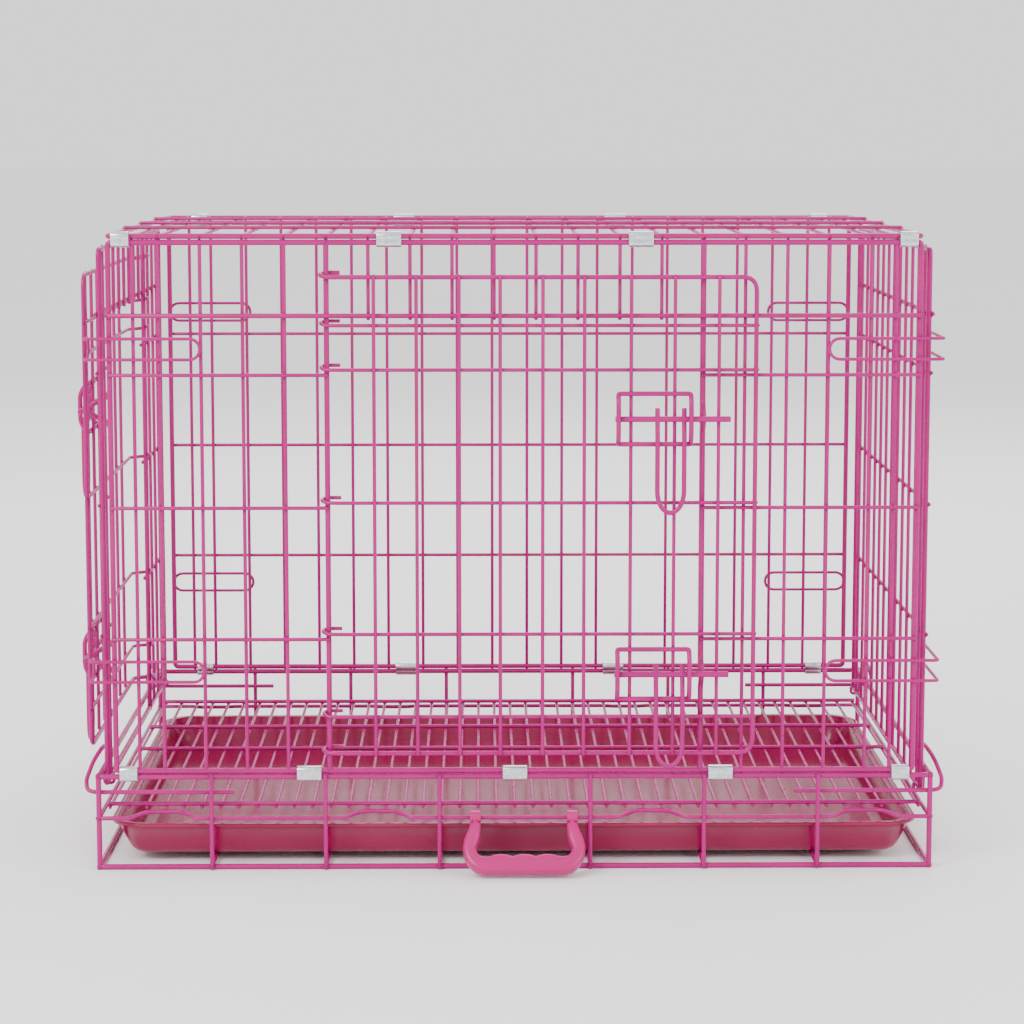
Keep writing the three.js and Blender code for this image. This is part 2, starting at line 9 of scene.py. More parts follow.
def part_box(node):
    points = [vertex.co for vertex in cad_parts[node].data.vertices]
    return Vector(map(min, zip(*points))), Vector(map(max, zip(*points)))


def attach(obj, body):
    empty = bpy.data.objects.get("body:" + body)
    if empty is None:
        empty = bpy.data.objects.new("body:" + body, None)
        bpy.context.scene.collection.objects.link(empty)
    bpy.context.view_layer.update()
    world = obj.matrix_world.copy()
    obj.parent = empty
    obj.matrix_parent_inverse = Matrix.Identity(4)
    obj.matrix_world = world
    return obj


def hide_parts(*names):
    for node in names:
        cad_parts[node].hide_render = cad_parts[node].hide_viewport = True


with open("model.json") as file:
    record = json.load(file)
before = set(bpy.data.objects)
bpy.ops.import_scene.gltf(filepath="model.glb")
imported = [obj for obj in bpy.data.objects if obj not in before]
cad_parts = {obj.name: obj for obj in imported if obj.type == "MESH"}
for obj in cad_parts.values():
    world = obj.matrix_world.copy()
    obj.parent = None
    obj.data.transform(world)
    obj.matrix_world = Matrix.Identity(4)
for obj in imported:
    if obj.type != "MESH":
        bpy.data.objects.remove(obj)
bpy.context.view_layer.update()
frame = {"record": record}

MM = 0.001

# ---- driving dimensions, as in the CAD ----
DEPTH = 485
PITCH = 37.33
HALF_BASE = 378
HALF_PANEL = 361.4
HALF_END = 371.5
NEAR_END_WIRE = 340

RAIL = 2.5
STOUT = 2.2
MEDIUM = 2
THIN = 1.7
FINE = 1.5
BOLT = 2.7
LAYER = 3.2
FACE_GAP = RAIL + FINE + 0.3  # from a panel's plane to a corner hook's wire on its face

BOTTOM_Z = 2.5
MID_Z = 47.7
RIM_Z = 86.2
PIVOT_Z = 91.7
TOP_PIVOT_Z = 570
RAIL_GAP = PIVOT_Z - RIM_Z
TOP_Z = TOP_PIVOT_Z + RAIL_GAP
LINTEL_Z = 505
LEVELS = [452, 332.5, 213]

KEEPER_X = 4.5 * PITCH
SIDE_KEEPER_Y = 2 * PITCH
SIDE_HINGE_Y = 9 * PITCH
END_POSTS = [14, 471]
END_TOP_Z = 563
RIGHT_PIVOT_Z = 70
LEFT_PIVOT_Z = 79

DOOR_LEVELS = [539.5, 496.5, 456.9, 337.5, 218.2, 142.5, 109]
SIDE_DOOR_LEVELS = [539.5, 496.5, 468, 337.5, 218.2, 142.5, 109]
LATCH_LEVELS = {"upper": 413.6, "lower": 182.7}
OVERLAP = 46.7
DOOR_STAND_OFF = 7
SIDE_STAND_OFF = 16
UPRIGHTS = [68.5, 172, 275.5]

tray_low, tray_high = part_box("tray")
MIDDLE = (tray_low + tray_high) / 2
TO_FRAME = Matrix.Translation((MIDDLE.x, MIDDLE.y - DEPTH / 2 * MM, 0)) @ Matrix.Scale(MM, 4)


# ---- lines ----
def rounded_line(points, bend, closed=False, steps=6):
    """The line through the points, with each corner made a curve that starts `bend` before it."""
    line, count = [], len(points)
    for i, point in enumerate(points):
        if not closed and i in (0, count - 1):
            line.append(point)
            continue
        back, on = points[i - 1] - point, points[(i + 1) % count] - point
        if back.length < 1e-6 or on.length < 1e-6 or back.angle(on) > math.radians(179.5):
            line.append(point)
            continue
        reach = min(bend, back.length * 0.49, on.length * 0.49)
        start, end = point + back.normalized() * reach, point + on.normalized() * reach
        for step in range(steps + 1):
            t = step / steps
            line.append(start * (1 - t) ** 2 + point * (2 * t * (1 - t)) + end * t * t)
    return line


def through(points, per_span=8):
    """A smooth curve through the points."""
    ends = [2 * points[0] - points[1], *points, 2 * points[-1] - points[-2]]
    line = []
    for a, b, c, d in zip(ends, ends[1:], ends[2:], ends[3:]):
        for step in range(per_span):
            t = step / per_span
            line.append(0.5 * (2 * b + (c - a) * t + (2 * a - 5 * b + 4 * c - d) * t * t
                               + (3 * b - a - 3 * c + d) * t ** 3))
    return [*line, points[-1]]


def arc(centre, first, second, radius, start, end, steps=10):
    """Points of an arc about the centre, from the direction `first` towards `second`, in degrees."""
    return [centre + (first * math.cos(a) + second * math.sin(a)) * radius
            for a in (math.radians(start + (end - start) * i / steps) for i in range(steps + 1))]


# ---- meshes ----
class Solid:
    """Vertices and faces of one piece, in millimetres, with the heat of the welds on each vertex."""

    def __init__(self):
        self.verts, self.faces, self.heat = [], [], []

    def rings(self, rings, capped=True, closed=False, heat=0.0):
        """Joins rings of equally many points by faces."""
        first, size = len(self.verts), len(rings[0])
        for ring in rings:
            self.verts.extend(ring)
            self.heat.extend([heat] * size)
        count = len(rings)
        for i in range(count if closed else count - 1):
            a, b = first + i * size, first + (i + 1) % count * size
            for k in range(size):
                n = (k + 1) % size
                self.faces.append((a + k, a + n, b + n, b + k))
        if capped and not closed:
            self.faces.append(tuple(range(first + size - 1, first - 1, -1)))
            last = first + (count - 1) * size
            self.faces.append(tuple(range(last, last + size)))

    def piece(self, name, body, nodes, slot, material, local=Matrix.Identity(4)):
        mesh = bpy.data.meshes.new(name)
        mesh.from_pydata(self.verts, [], self.faces)
        mesh.transform(TO_FRAME @ local)
        mesh.shade_smooth()
        mesh.materials.append(material)
        mesh.attributes.new("weld", "FLOAT", "POINT").data.foreach_set("value", self.heat)
        obj = bpy.data.objects.new(name, mesh)
        bpy.context.scene.collection.objects.link(obj)
        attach(obj, body)
        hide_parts(*nodes)
        return obj


def transported(line, closed):
    """A pair of directions across each point of a line, turned as little as they can be."""
    last = len(line) - 1
    along = []
    for i, point in enumerate(line):
        before = line[i - 1] if i or closed else point
        after = line[(i + 1) % len(line)] if i < last or closed else point
        along.append((after - before).normalized())
    side = along[0].orthogonal().normalized()
    sides = []
    for direction in along:
        side = (side - direction * side.dot(direction)).normalized()
        sides.append(side)
    if closed:
        back = (side - along[0] * side.dot(along[0])).normalized()
        twist = math.atan2(sides[0].cross(back).dot(along[0]), sides[0].dot(back))
        sides = [s * math.cos(-twist * i / len(line)) + d.cross(s) * math.sin(-twist * i / len(line))
                 for i, (s, d) in enumerate(zip(sides, along))]
    return [(s, d.cross(s)) for s, d in zip(sides, along)]


class Wires(Solid):
    """Round wires of one sub-part, and a small bead of weld wherever two of them meet."""

    def __init__(self):
        super().__init__()
        self.runs, self.count = [], 0

    def wire(self, points, radius, bend=0, closed=False):
        points = [Vector(p) for p in points]
        line = rounded_line(points, bend, closed) if bend else points
        self.count += 1
        for a, b in zip(line, line[1:] + line[:1] if closed else line[1:]):
            if (b - a).length > 6:
                self.runs.append((a, b, radius, self.count))
        sizes = [radius] * len(line)
        if not closed:  # cut ends with softened edges
            start, end = (line[1] - line[0]).normalized(), (line[-2] - line[-1]).normalized()
            steps = [(0, 0.72), (0.1, 0.92), (0.3, 1)]
            head = [line[0] + start * radius * depth for depth, _ in steps]
            tail = [line[-1] + end * radius * depth for depth, _ in reversed(steps)]
            shrink = [radius * share for _, share in steps]
            line = head + line[1:-1] + tail
            sizes = shrink + sizes[1:-1] + shrink[::-1]
        sides = 14 if radius > THIN else 10
        turns = [2 * math.pi * k / sides for k in range(sides)]
        self.rings([[p + (x * math.cos(t) + y * math.sin(t)) * size for t in turns]
                    for p, size, (x, y) in zip(line, sizes, transported(line, closed))],
                   closed=closed)

    def bead(self, centre, first, normal, along, across, depth):
        """A squashed ball of weld: `along` is its radius in the direction `first`."""
        second = normal.cross(first)
        rows, sides = 6, 10
        rings = []
        for row in range(1, rows):
            tilt = math.pi * row / rows
            ring = [centre + first * math.sin(tilt) * math.cos(t) * along
                    + second * math.sin(tilt) * math.sin(t) * across
                    + normal * math.cos(tilt) * depth
                    for t in (2 * math.pi * k / sides for k in range(sides))]
            rings.append([Vector((p.x, p.y, max(p.z, 0))) for p in ring])  # none reaches below the floor
        self.rings(rings, heat=1.0)

    def weld(self):
        """Beads where straight runs of different wires meet."""
        for i, (a, b, one, wire) in enumerate(self.runs):
            for c, d, two, other in self.runs[:i]:
                if wire == other:
                    continue
                near = intersect_line_line(a, b, c, d)
                if near is None:
                    continue
                p, q = near
                u, w = (b - a).normalized(), (d - c).normalized()
                inside = (-one - two < (p - a).dot(u) < (b - a).length + one + two
                          and -one - two < (q - c).dot(w) < (d - c).length + one + two)
                gap = (p - q).length
                if not inside or gap > one + two + 0.4:
                    continue
                small = min(one, two)
                if gap > small:  # one wire lies on the other
                    normal = (p - q).normalized()
                    first = (u - normal * u.dot(normal)).normalized()
                    self.bead(q + normal * two, first, normal, small * 1.45, small * 1.45, 1.0)
                else:  # one wire ends at the other
                    first, wide = (u, two) if one <= two else (w, one)
                    normal = first.cross(w if one <= two else u).normalized()
                    self.bead((p + q) / 2, first, normal, wide + 1, small * 1.2, small * 1.2)

    def finish(self, name, body, nodes, local=Matrix.Identity(4)):
        self.weld()
        return self.piece(name, body, nodes, "powder_coated_wire", WIRE_COAT, local)


# ---- materials ----
class Nodes:
    """A Principled material, and short calls that add nodes to it."""

    def __init__(self, name, **sockets):
        self.material = bpy.data.materials.new(name)
        self.material.use_nodes = True
        self.tree = self.material.node_tree
        self.shader = self.tree.nodes["Principled BSDF"]
        for socket, value in sockets.items():
            self.shader.inputs[socket.replace("_", " ")].default_value = value
        self.place = self.add("ShaderNodeTexCoord").outputs["Object"]

    def add(self, kind, inputs=(), **settings):
        node = self.tree.nodes.new(kind)
        for key, value in settings.items():
            setattr(node, key, value)
        for key, value in dict(inputs).items():
            if isinstance(value, bpy.types.NodeSocket):
                self.tree.links.new(value, node.inputs[key])
            else:
                node.inputs[key].default_value = value
        return node

    def noise(self, scale, detail=3.0, stretch=None):
        vector = self.place
        if stretch:
            vector = self.add("ShaderNodeMapping", {"Vector": vector, "Scale": stretch}).outputs[0]
        return self.add("ShaderNodeTexNoise", {"Vector": vector, "Scale": scale,
                                               "Detail": detail}).outputs["Fac"]

    def spread(self, value, low, high, start=0.3, end=0.7):
        return self.add("ShaderNodeMapRange", {"Value": value, "From Min": start, "From Max": end,
                                               "To Min": low, "To Max": high}).outputs["Result"]

    def mix(self, factor, a, b):
        node = self.add("ShaderNodeMix", data_type="RGBA")
        for socket, value in ((0, factor), (6, a), (7, b)):
            if isinstance(value, bpy.types.NodeSocket):
                self.tree.links.new(value, node.inputs[socket])
            else:
                node.inputs[socket].default_value = value
        return node.outputs[2]

    def bump(self, height, distance, strength, below=None):
        inputs = {"Height": height, "Distance": distance, "Strength": strength}
        if below:
            inputs["Normal"] = below
        return self.add("ShaderNodeBump", inputs).outputs["Normal"]

    def set(self, **sockets):
        for socket, value in sockets.items():
            self.tree.links.new(value, self.shader.inputs[socket.replace("_", " ")])


def srgb(red, green, blue):
    """A screen colour from 0 to 255 as the linear colour that shaders take."""
    return (*(((c / 255 + 0.055) / 1.055) ** 2.4 for c in (red, green, blue)), 1)


def powder_coat():
    """Glossy powder coat: orange peel, slightly thin and dull where the welds are."""
    m = Nodes("pink_powder_coat", Coat_Weight=0.08, Coat_Roughness=0.12, Specular_IOR_Level=0.25)
    cloudy = m.mix(m.spread(m.noise(18), 0, 1), srgb(170, 0, 112), srgb(156, 0, 101))
    specks = m.mix(m.spread(m.noise(2600, 1), 0, 0.5, 0.62, 0.75), cloudy, srgb(190, 18, 134))
    weld = m.add("ShaderNodeAttribute", attribute_name="weld").outputs["Fac"]
    worn = m.add("ShaderNodeMath", {0: weld, 1: m.spread(m.noise(160), 0.2, 0.75)},
                 operation="MULTIPLY").outputs[0]
    m.set(Base_Color=m.mix(worn, specks, srgb(118, 0, 72)),
          Roughness=m.spread(m.noise(60), 0.2, 0.36),
          Normal=m.bump(m.noise(900, 2), 0.0001, 0.35, m.bump(m.noise(240, 2), 0.0003, 0.2)))
    return m.material


def moulded(name, deep, light, low, high):
    """Injection-moulded plastic: faint flow marks, a fine skin and hairline scuffs."""
    m = Nodes(name, Specular_IOR_Level=0.35, Coat_Weight=0.1, Coat_Roughness=0.2)
    flow = m.spread(m.noise(7, 2, (1, 3, 3)), 0, 1)
    scuffs = m.spread(m.noise(55, 6, (1, 26, 8)), 0, 1, 0.62, 0.74)
    m.set(Base_Color=m.mix(flow, deep, light),
          Roughness=m.spread(scuffs, low, high, 0, 1),
          Normal=m.bump(m.noise(1500, 2), 0.00006, 0.3, m.bump(m.noise(16, 2), 0.0008, 0.25)))
    return m.material


def zinc():
    """Bright zinc plate on rolled sheet: fine grain along the sheet, and cloudy patches."""
    m = Nodes("bright_zinc", Metallic=1.0, Specular_IOR_Level=0.5)
    grain = m.noise(400, 4, (0.12, 3, 3))
    m.set(Base_Color=m.mix(m.spread(m.noise(260), 0, 1), srgb(226, 229, 233), srgb(196, 200, 206)),
          Roughness=m.spread(grain, 0.2, 0.42),
          Normal=m.bump(grain, 0.00008, 0.3))
    return m.material


WIRE_COAT = powder_coat()
TRAY_PLASTIC = moulded("tray_gloss_plastic", srgb(136, 0, 62), srgb(148, 2, 72), 0.16, 0.34)
HANDLE_PLASTIC = moulded("handle_satin_plastic", srgb(172, 4, 102), srgb(186, 10, 112), 0.3, 0.46)
ZINC = zinc()


# ---- base ----
def mirrored(values):
    return [side * value for value in values for side in (-1, 1)]


def base_frame():
    w = Wires()
    corners = [(-HALF_BASE, 0), (HALF_BASE, 0), (HALF_BASE, DEPTH), (-HALF_BASE, DEPTH)]
    for z in (BOTTOM_Z, RIM_Z):
        w.wire([(x, y, z) for x, y in corners], RAIL, bend=5, closed=True)
    for x, y in corners:
        w.wire([(x, y, BOTTOM_Z), (x, y, RIM_Z)], RAIL)
    ledge = [(-30, 0, 0), (-22, 8, 1.6), (-14, 15, 2.5), (14, 15, 2.5), (22, 8, 1.6), (30, 0, 0)]
    for y, inward in ((0, 1), (DEPTH, -1)):
        ledges = [(x + dx, y + inward * dy, MID_Z + dz)
                  for x in (-320, -125, 125, 320) for dx, dy, dz in ledge]
        w.wire([(-HALF_BASE, y, MID_Z), *ledges, (HALF_BASE, y, MID_Z)], MEDIUM, bend=4)
        for x in mirrored(UPRIGHTS):
            w.wire([(x, y - inward * 3.3, 1), (x, y - inward * 3.3, RIM_Z + 1.5)], MEDIUM)
        for side in (-1, 1):
            arch = [(255, 4.2, 71), (382, 4.2, 71), (389, 6, 72.5), (391, 12, 80), (386, 26, 95),
                    (380, 38, 104), (378, 48, 105), (377.5, 56, 99), (378, 59, RIM_Z)]
            w.wire([(side * x, y + inward * dy, z) for x, dy, z in arch], MEDIUM, bend=7)
    for x in mirrored(UPRIGHTS):
        w.wire([(x, -1, 4), (x, DEPTH + 1, 4)], MEDIUM)
    for side, pivot_z in ((-1, LEFT_PIVOT_Z), (1, RIGHT_PIVOT_Z)):
        w.wire([(side * HALF_BASE, 0, MID_Z), (side * HALF_BASE, DEPTH, MID_Z)], MEDIUM)
        reach = RAIL + FINE + 0.4
        for y in (25.6, 459.4):
            hook = [(HALF_BASE - 1.5, RIM_Z), (HALF_END + reach, pivot_z),
                    (HALF_END + reach, pivot_z - reach), (HALF_END - reach, pivot_z - reach),
                    (HALF_END - reach, pivot_z + 3)]
            w.wire([(side * x, y, z) for x, z in hook], FINE, bend=4)
    return w.finish("base_frame_wires", "base", ["base_bottom", "base_frame"])


def floor_grid():
    w = Wires()
    cross_z, weld, half_length, cross_wires = 54, 2.8, 372, 45
    front, back = 18, 467
    for y in (front, 143, 242.5, 342, back):
        w.wire([(-half_length, y, cross_z + weld), (half_length, y, cross_z + weld)], MEDIUM)
    for i in range(cross_wires):
        x = (i / (cross_wires - 1) - 0.5) * 2 * (half_length - 2)
        w.wire([(x, front - 4, cross_z), (x, back + 4, cross_z)], FINE)
    return w.finish("floor_grid_wires", "base", ["floor_grid"])


# ---- tray ----
def tray():
    """A shallow basin lofted round a rounded rectangle, with leaning walls and a rolled lip."""
    half_x, half_y, corner = 353, 216, 16
    bottom, top, wall, flare, lip = 6.8, 40, 2.4, 13, 5.5

    def profile(bend, low, outward):
        """Floor edge, bend and leaning wall, as (distance out, height), without the lip."""
        run = [Vector((-60, 0, low)), Vector((outward, 0, low)), Vector((outward + flare, 0, top))]
        return rounded_line(run, bend, steps=8)[1:]

    outside = profile(11, bottom, 0)
    inside = profile(9, bottom + wall, -wall)
    edge = flare + lip
    rolled = [Vector((outside[-1].x + 0.6, 0, top - wall - 0.6)), Vector((edge - 1.4, 0, top - wall)),
              Vector((edge - 0.3, 0, top - wall - 1.1)), Vector((edge, 0, top - wall + 0.6)),
              Vector((edge - 0.3, 0, top - 0.7)), Vector((edge - 1.4, 0, top)),
              Vector((inside[-1].x + 1.8, 0, top)), Vector((inside[-1].x + 0.4, 0, top - 0.7))]
    floor = [Vector((-x, 0, 0)) for x in (150, 90, 40, 18)]
    under = [Vector((p.x, 0, bottom)) for p in floor]
    over = [Vector((p.x - wall, 0, bottom + wall)) for p in reversed(floor)]
    loop = under + outside[:-1] + rolled + inside[-2::-1] + over
    solid = Solid()
    rings = []
    for p in loop:
        radius = max(corner + p.x, 3)
        ring = []
        for sx, sy, start in ((1, -1, -90), (1, 1, 0), (-1, 1, 90), (-1, -1, 180)):
            centre = Vector((sx * (half_x + p.x - radius), sy * (half_y + p.x - radius) + DEPTH / 2, p.z))
            ring += arc(centre, Vector((1, 0, 0)), Vector((0, 1, 0)), radius, start, start + 90, 12)
        rings.append(ring)
    solid.rings(rings)
    return solid.piece("tray_moulding", "tray", ["tray"], "tray_plastic", TRAY_PLASTIC)


# ---- carry handle ----
def carry_handle():
    """Moulded in one piece: two rings round the base's middle wire, bowed arms and a finger grip."""
    tilt = Matrix.Rotation(-math.radians(42), 4, "X")
    local = Matrix.Translation((8, 0, MID_Z)) @ tilt
    solid = Solid()
    outer = [(-49, -8), (-50.5, -14), (-54, -23), (-55.5, -34), (-52, -46), (-45, -54), (-38, -57)]
    inner = [(-39, -8), (-39, -14), (-40, -23), (-43, -33), (-40, -39.5), (-36, -41), (-31, -41)]
    outer = through([Vector((x, 0, z)) for x, z in outer], 5)
    inner = through([Vector((x, 0, z)) for x, z in inner], 5)
    bar = 48
    for i in range(1, bar // 2 + 1):
        share = i / (bar // 2)
        x = -31 * (1 - share)
        outer.append(Vector((-38 * (1 - share), 0, -57)))
        inner.append(Vector((x, 0, -41 + 2.6 * abs(math.sin(math.pi * (x + 31) / 20.67)) ** 0.8)))
    outer += [Vector((-p.x, 0, p.z)) for p in reversed(outer[:-1])]
    inner += [Vector((-p.x, 0, p.z)) for p in reversed(inner[:-1])]
    rings, sides, squareness, half_thick = [], 24, 0.62, 6.8
    count = len(outer)
    for i, (a, b) in enumerate(zip(outer, inner)):
        end = min(i, count - 1 - i)
        thick = half_thick * (0.78 + 0.22 * min(end / 6, 1))
        middle, half = (a + b) / 2, (a - b) / 2
        ring = []
        for k in range(sides):
            t = 2 * math.pi * k / sides
            c, s = math.cos(t), math.sin(t)
            u, w = math.copysign(abs(c) ** squareness, c), math.copysign(abs(s) ** squareness, s)
            ring.append(middle + half * u + Vector((0, thick * w, 0)))
        rings.append(ring)
    solid.rings(rings)
    for x in (-44, 44):  # the rings and the necks that join them to the arms
        section = rounded_line([Vector((dx, 0, r)) for dx, r in ((-5, 2.6), (5, 2.6), (5, 6.4), (-5, 6.4))],
                               1.2, closed=True, steps=4)
        solid.rings([[Vector((x + p.x, p.z * math.cos(t), p.z * math.sin(t))) for p in section]
                     for t in (2 * math.pi * k / 28 for k in range(28))], closed=True)
        neck = []
        for z, half_x, half_y in ((-4.2, 3.4, 4.4), (-6.4, 3.2, 4.0), (-8.6, 3.6, 4.6)):
            neck.append([Vector((x + half_x * math.cos(t), half_y * math.sin(t), z))
                         for t in (2 * math.pi * k / 16 for k in range(16))])
        solid.rings(neck)
    return solid.piece("carry_handle_moulding", "carry_handle", ["carry_handle"], "handle_plastic",
                       HANDLE_PLASTIC, local)


# ---- fold-down panels ----
def pitch_places(start, end):
    return mirrored([(i + 0.5) * PITCH for i in range(start, end)])


def keeper_post(w, x, y, low, high, outward, bulge):
    """A post with an outward bulge at each latch."""
    half, out = 13, Vector(outward) * bulge
    points = [(x, y, low)]
    for z in (LATCH_LEVELS["lower"], LATCH_LEVELS["upper"]):
        points += [(x, y, z - half), (x + out.x, y + out.y, z - 4), (x + out.x, y + out.y, z + 4),
                   (x, y, z + half)]
    w.wire([*points, (x, y, high)], RAIL, bend=6)


def upright_panel(y, thin_places):
    w = Wires()
    w.wire([(x, y, z) for x, z in ((-HALF_PANEL, PIVOT_Z), (HALF_PANEL, PIVOT_Z),
                                   (HALF_PANEL, TOP_PIVOT_Z), (-HALF_PANEL, TOP_PIVOT_Z))],
           RAIL, bend=4, closed=True)
    for x in thin_places:
        w.wire([(x, y, PIVOT_Z), (x, y, TOP_PIVOT_Z)], THIN)
    return w


def front_panel():
    w = upright_panel(0, [*pitch_places(5, 9), -NEAR_END_WIRE, NEAR_END_WIRE])
    inset = HALF_PANEL + 1
    w.wire([(-inset, -LAYER, LINTEL_Z), (inset, -LAYER, LINTEL_Z)], STOUT)
    for z in LEVELS:
        for side in (-1, 1):
            w.wire([(side * (KEEPER_X - 1), -LAYER, z), (side * inset, -LAYER, z)], THIN)
    for x in pitch_places(0, 4):
        w.wire([(x, 0, LINTEL_Z - 4), (x, 0, TOP_PIVOT_Z)], THIN)
    w.wire([(-KEEPER_X, 0, PIVOT_Z), (-KEEPER_X, 0, TOP_PIVOT_Z)], RAIL)
    keeper_post(w, KEEPER_X, 0, PIVOT_Z, TOP_PIVOT_Z, (0, -1, 0), 9)
    return w.finish("front_panel_wires", "front_panel",
                    ["front_left_bay", "front_right_bay", "front_header", "front_sill"])


def back_panel():
    w = upright_panel(DEPTH, [*pitch_places(0, 9), -NEAR_END_WIRE, NEAR_END_WIRE])
    for z in LEVELS:
        w.wire([(-HALF_PANEL - 1, DEPTH + LAYER, z), (HALF_PANEL + 1, DEPTH + LAYER, z)], THIN)
    return w.finish("back_panel_wires", "back_panel", ["back_panel"])


def top_panel():
    w = Wires()
    w.wire([(x, y, TOP_Z) for x, y in ((-HALF_PANEL, 0), (HALF_PANEL, 0), (HALF_PANEL, DEPTH),
                                       (-HALF_PANEL, DEPTH))], RAIL, bend=6, closed=True)
    for x in [*pitch_places(0, 9), -NEAR_END_WIRE, NEAR_END_WIRE]:
        w.wire([(x, 0, TOP_Z), (x, DEPTH, TOP_Z)], THIN)
    for quarter in (1, 2, 3):
        y, z = quarter * DEPTH / 4, TOP_Z + LAYER
        w.wire([(-HALF_PANEL - 1, y, z), (HALF_PANEL + 1, y, z)], THIN)
    return w.finish("top_panel_wires", "top_panel", ["top_panel"])


HOOK_LEVELS = {"upper": 475.3, "lower": 183.6}
HOOK_HALF_GAP = 9.3  # half the distance between a loop's two long wires
FRONT_HOOK_REACH = 81  # how far a loop runs in from the end post, along the panel
BACK_HOOK_REACH = 85


def corner_hook(node, side, z, end_reach):
    """One closed wire loop round a front corner, on the panel's face and on the end panel."""
    half_gap, offset = HOOK_HALF_GAP, FACE_GAP
    outer = HALF_BASE + RAIL + FINE + 0.7
    face_end = HALF_PANEL - FRONT_HOOK_REACH
    along, up = Vector((side, 0, 0)), Vector((0, 0, 1))
    front = Vector((side * (face_end + half_gap), -offset, z))
    back = Vector((side * outer, end_reach - half_gap, z))
    corner = Vector((side * outer, -offset, 0))
    low, high = Vector((0, 0, z - half_gap)), Vector((0, 0, z + half_gap))
    bent = [Vector((side * (outer - 8), -offset, 0)), corner, Vector((side * outer, 8 - offset, 0))]
    round_corner = rounded_line(bent, 8)[1:-1]
    line = arc(front, -along, up, half_gap, 90, -90)
    line += [p + low for p in round_corner]
    line += arc(back, Vector((0, 1, 0)), up, half_gap, -90, 90)
    line += [p + high for p in reversed(round_corner)]
    w = Wires()
    w.wire(line, FINE, closed=True)
    return w.finish(f"{node}_loop", "front_panel", [node])


def back_hook(node, side, z):
    """The flat part of a back corner's loop, on the back panel's outer face."""
    half_gap, y = HOOK_HALF_GAP, DEPTH + FACE_GAP
    start, end = HALF_PANEL - BACK_HOOK_REACH + half_gap, HALF_PANEL + 0.3 - half_gap
    along, up = Vector((side, 0, 0)), Vector((0, 0, 1))
    line = arc(Vector((side * start, y, z)), -along, up, half_gap, 90, -90)
    line += arc(Vector((side * end, y, z)), along, up, half_gap, -90, 90)
    w = Wires()
    w.wire(line, FINE, closed=True)
    return w.finish(f"{node}_loop", "back_panel", [node])


# ---- end panels ----
def end_panel(name, side, pivot_z, has_door):
    w = Wires()
    x, out = side * HALF_END, side * (HALF_END + LAYER)
    front, back = END_POSTS
    w.wire([(x, front - 6, pivot_z), (x, back + 6, pivot_z)], RAIL)
    w.wire([(x, front, pivot_z), (x, front, END_TOP_Z), (x, back, END_TOP_Z), (x, back, pivot_z)],
           RAIL, bend=7)
    w.wire([(out, front - 1, LINTEL_Z), (out, back + 1, LINTEL_Z)], STOUT)
    for i in range(1, 13):
        y = i * PITCH
        if has_door and i in (2, 9):
            continue
        in_opening = has_door and 2 < i < 9
        w.wire([(x, y, LINTEL_Z - 4 if in_opening else pivot_z), (x, y, END_TOP_Z)], THIN)
    spans = [(front - 1, SIDE_KEEPER_Y + 1), (SIDE_HINGE_Y - 1, back + 1)]
    for z in LEVELS:
        for y0, y1 in spans if has_door else [(front - 1, back + 1)]:
            w.wire([(out, y0, z), (out, y1, z)], THIN)
    if has_door:
        w.wire([(x, SIDE_HINGE_Y, pivot_z), (x, SIDE_HINGE_Y, END_TOP_Z)], RAIL)
        keeper_post(w, x, SIDE_KEEPER_Y, pivot_z, END_TOP_Z, (side, 0, 0), SIDE_STAND_OFF + 2)
    return w.finish(f"{name}_wires", name, [name])


# ---- doors and bolts: the hinge post at the origin, the free edge towards +x ----
LATCH_WIDTH = 64.6
LATCH_HALF_HEIGHT = 22.6
LATCH_TO_KEEPER = 11.6


def hinge_wrap(z, stand_off):
    """A door wire's end, wound round the hinge post and led out to the door's plane."""
    turn, rise = 5, 3.4
    wrap = []
    for degrees in range(90, 226, 15):
        a = math.radians(degrees)
        wrap.append((turn * math.cos(a), turn * math.sin(a), z + rise * (270 - degrees) / 180))
    if stand_off > 10:
        lead = [(-4.4, -stand_off + 4, z), (0, -stand_off, z)]
    else:
        lead = [(0, -turn - 0.3, z)]
    return [(12, turn, z + rise), *wrap, *lead, (10, -stand_off, z)]


def door(name, width, levels, stand_off, uprights, local):
    w = Wires()
    inner, outer = -stand_off, -stand_off - LAYER
    top, bottom, free = levels[0], levels[-1], width + OVERLAP
    corners = rounded_line([Vector(p) for p in ((60, inner, top), (free, inner, top),
                                                (free, inner, bottom), (60, inner, bottom))], 13)
    w.wire([*hinge_wrap(top, stand_off), *corners, *reversed(hinge_wrap(bottom, stand_off))],
           STOUT - 0.1)
    for z in levels[1:-1]:
        w.wire([*hinge_wrap(z, stand_off), (free, inner, z)], THIN)
    for x in uprights:
        w.wire([(x, outer, bottom - 1), (x, outer, top + 1)], THIN)
    right = width - LATCH_TO_KEEPER
    left = right - LATCH_WIDTH
    for z in LATCH_LEVELS.values():
        side = [(LATCH_HALF_HEIGHT, 3), (19, 6.6), (12, 10)]
        side += [(-dz, out) for dz, out in reversed(side)]
        guide = [(left, outer - out, z + dz) for dz, out in side]
        guide += [(right, outer - out, z + dz) for dz, out in reversed(side)]
        w.wire(guide, STOUT, bend=6, closed=True)
    return w.finish(f"{name}_wires", name, [name], local)


